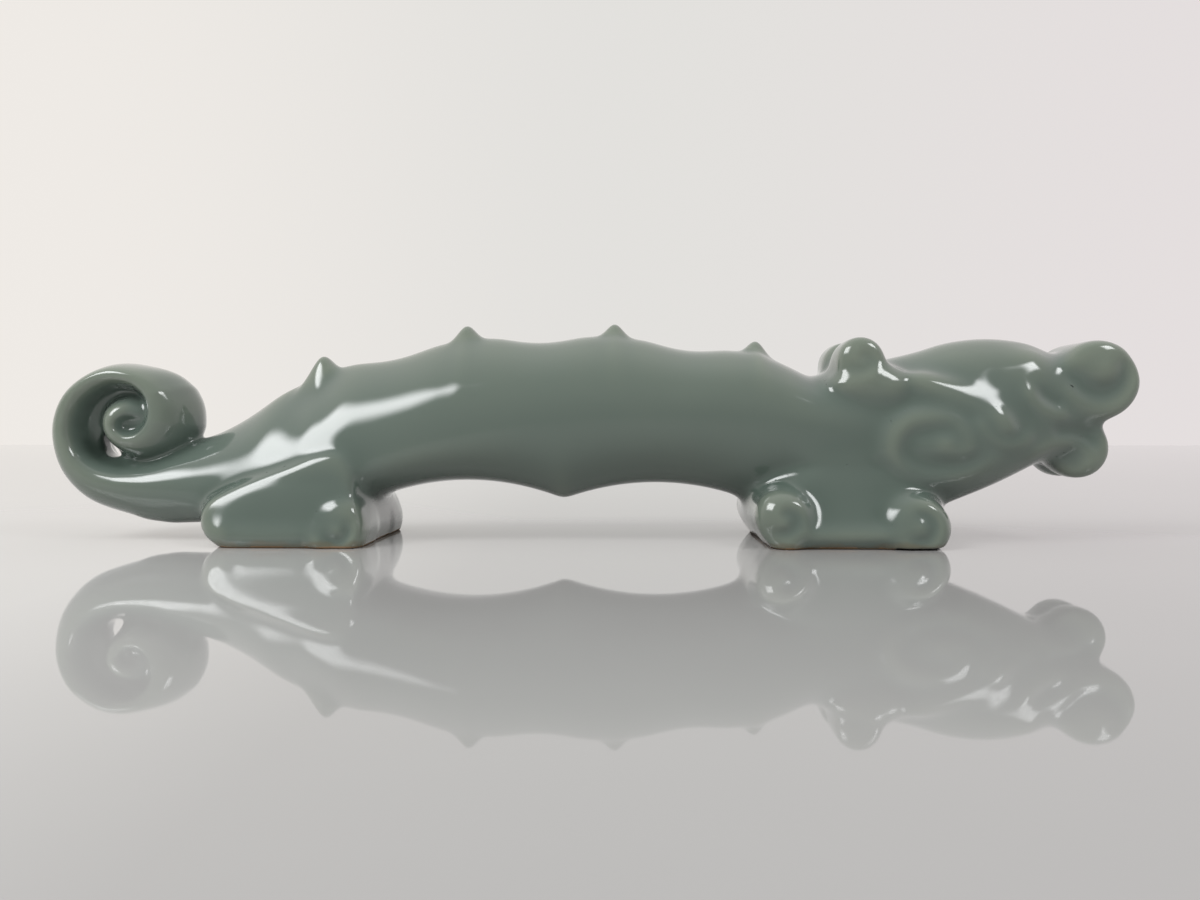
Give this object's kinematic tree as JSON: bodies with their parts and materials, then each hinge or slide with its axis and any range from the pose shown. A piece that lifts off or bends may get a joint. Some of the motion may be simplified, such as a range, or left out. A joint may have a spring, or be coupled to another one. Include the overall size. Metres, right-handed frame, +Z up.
{
  "type": "brush rest",
  "caption": "Glazed ceramic brush rest: a long arched dragon with a rolled tail, saddles along its back for brushes, and flat feet.",
  "frame": {"origin": "centre of the whole object's box, on the plane that the two soles stand on", "axes": "+X towards the head, +Y towards the dragon's left side, +Z up"},
  "size_m": [0.1482, 0.0248, 0.0299],
  "materials": {
    "glaze": "glossy grey-green celadon glaze, paler on edges and darker in hollows",
    "bare_clay": "matte unglazed fired clay"
  },
  "bodies": {
    "root": {"body": "glaze", "tail_scroll": "glaze", "tail_tip": "glaze", "head": "glaze", "rear_foot": "glaze", "front_foot": "glaze", "haunch_right": "glaze", "haunch_left": "glaze", "rear_paw_curl_right": "glaze", "rear_paw_curl_left": "glaze", "front_foot_back_curl_right": "glaze", "front_foot_back_curl_left": "glaze", "front_foot_toe_curl_right": "glaze", "front_foot_toe_curl_left": "glaze", "mane_lock_right": "glaze", "mane_lock_left": "glaze", "cheek_scroll_right": "glaze", "cheek_scroll_left": "glaze", "brow_right": "glaze", "brow_left": "glaze", "eye_right": "glaze", "eye_left": "glaze", "nose_scroll": "glaze", "chin_curl_right": "glaze", "chin_curl_left": "glaze", "rear_sole": "bare_clay", "front_sole": "bare_clay"}
  },
  "joints": []
}
